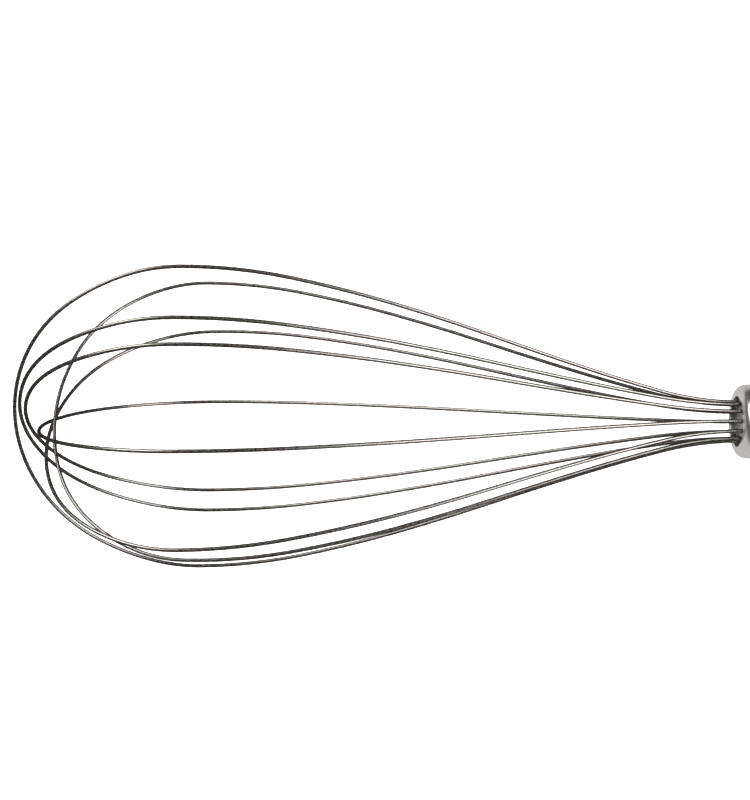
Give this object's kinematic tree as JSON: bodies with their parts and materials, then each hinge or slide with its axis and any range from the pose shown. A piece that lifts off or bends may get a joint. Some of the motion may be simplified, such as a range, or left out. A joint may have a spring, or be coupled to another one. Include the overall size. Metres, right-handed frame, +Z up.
{
  "type": "balloon whisk",
  "caption": "Balloon whisk with nested steel wire loops fanned from a hollow steel handle, closed by a lugged cap with a swinging hanging ring.",
  "frame": {"origin": "middle of the whisk's footprint on the surface it lies on, at Z = 0", "axes": "+X from the loops' tip towards the hanging ring, +Z up from the table, +Y to the left of someone looking along +X"},
  "size_m": [0.383, 0.108, 0.1104],
  "materials": {
    "wire_steel": "bright drawn stainless wire, polished",
    "plug_polymer": "smooth moulded dark grey polymer",
    "potting_resin": "cast resin",
    "bead_sealant": "smooth dark sealant",
    "handle_steel": "satin stainless, fine turning round the nose",
    "cap_steel": "satin stainless",
    "ring_steel": "polished stainless wire"
  },
  "bodies": {
    "whisk": {"wire_loop_1": "wire_steel", "wire_loop_2": "wire_steel", "wire_loop_3": "wire_steel", "wire_loop_4": "wire_steel", "wire_loop_5": "wire_steel", "wire_loop_6": "wire_steel", "wire_plug": "plug_polymer", "resin_fill": "potting_resin", "seal_beads": "bead_sealant", "handle_tube": "handle_steel", "end_cap": "cap_steel"},
    "ring": {"hanging_ring": "ring_steel"}
  },
  "joints": [
    {"name": "ring_swing", "type": "hinge", "parent": "whisk", "child": "ring", "pos_m": [0.16915, -0.00387, 0.01013], "axis": [0, 1, 0], "range_deg": [-135, 105]}
  ]
}
